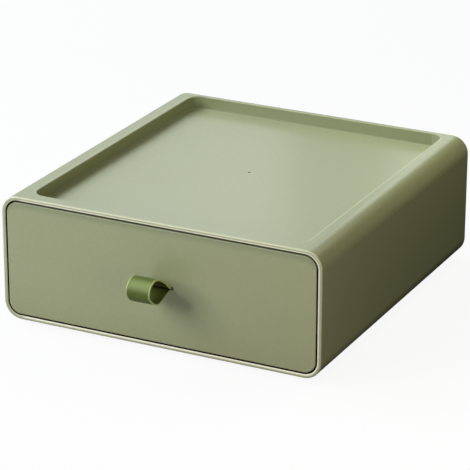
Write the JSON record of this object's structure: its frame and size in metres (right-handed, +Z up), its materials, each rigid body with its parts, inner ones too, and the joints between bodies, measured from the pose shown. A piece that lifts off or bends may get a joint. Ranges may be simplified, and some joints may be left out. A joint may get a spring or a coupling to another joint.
{
  "type": "stackable drawer box",
  "caption": "Low moulded box with a sliding drawer, a looped pull strap and a tray in its top that takes the plinth of a box above.",
  "frame": {"origin": "on the ground under the middle of the case; the flat of the plinth lies 0.8 mm above it, on its four pads", "axes": "+X to the right seen from the front, +Y from the drawer front to the back wall, +Z up"},
  "size_m": [0.2, 0.2364, 0.0783],
  "materials": {
    "shell_plastic": "fine matt texture, sage green",
    "front_plastic": "fine matt texture, sage green",
    "tub_plastic": "smooth satin, sage green",
    "strap": "satin olive green with paler cut edges",
    "screw_steel": "zinc plated",
    "pad_rubber": "matt dark grey"
  },
  "bodies": {
    "case": {"case_shell": "shell_plastic", "foot_pad_front_left": "pad_rubber", "foot_pad_front_right": "pad_rubber", "foot_pad_back_left": "pad_rubber", "foot_pad_back_right": "pad_rubber"},
    "drawer": {"drawer_tub": "tub_plastic", "drawer_front_panel": "front_plastic", "pull_strap": "strap", "strap_retainer_plate": "tub_plastic", "retainer_screws": "screw_steel"}
  },
  "joints": [
    {"name": "drawer_slide", "type": "slide", "parent": "case", "child": "drawer", "axis": [0, -1, 0], "range_m": [0, 0.155]}
  ]
}
